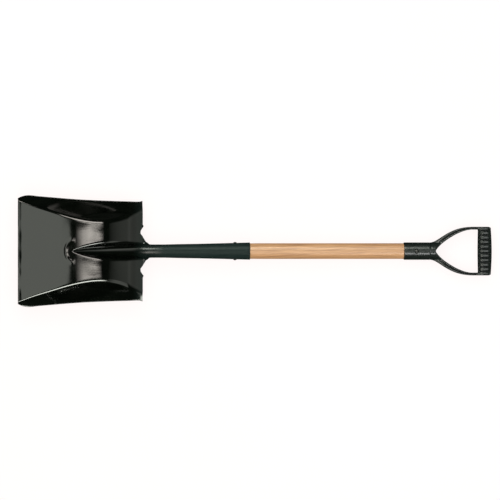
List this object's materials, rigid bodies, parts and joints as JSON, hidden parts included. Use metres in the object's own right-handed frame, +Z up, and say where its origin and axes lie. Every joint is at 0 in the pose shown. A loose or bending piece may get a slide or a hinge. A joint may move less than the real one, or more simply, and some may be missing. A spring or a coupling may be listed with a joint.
{
  "type": "square-mouth shovel",
  "caption": "Square-mouth shovel: dished black steel pan with a rolled socket, short wooden shaft and a moulded D-shaped grip with a ribbed hand bar.",
  "frame": {"origin": "centre of the tool's box, on the ground that it lies on, face up, resting on the heel of the blade and on the hand bar", "axes": "+X from the blade to the D-grip, +Z up out of the dished face, +Y across the blade"},
  "size_m": [1.0854, 0.2556, 0.0601],
  "materials": {
    "black_enamel": "black enamel, glossy in the pan and satin on the socket",
    "bare_ash": "sanded ash with a thin clear coat",
    "dark_steel": "steel rivet painted over with the socket",
    "bright_steel": "plain steel screw",
    "green_black_plastic": "satin moulded plastic, dark green-black"
  },
  "bodies": {
    "root": {"blade": "black_enamel", "handle_shaft": "bare_ash", "socket_rivet": "dark_steel", "grip_screw": "bright_steel", "d_grip": "green_black_plastic"}
  },
  "joints": []
}
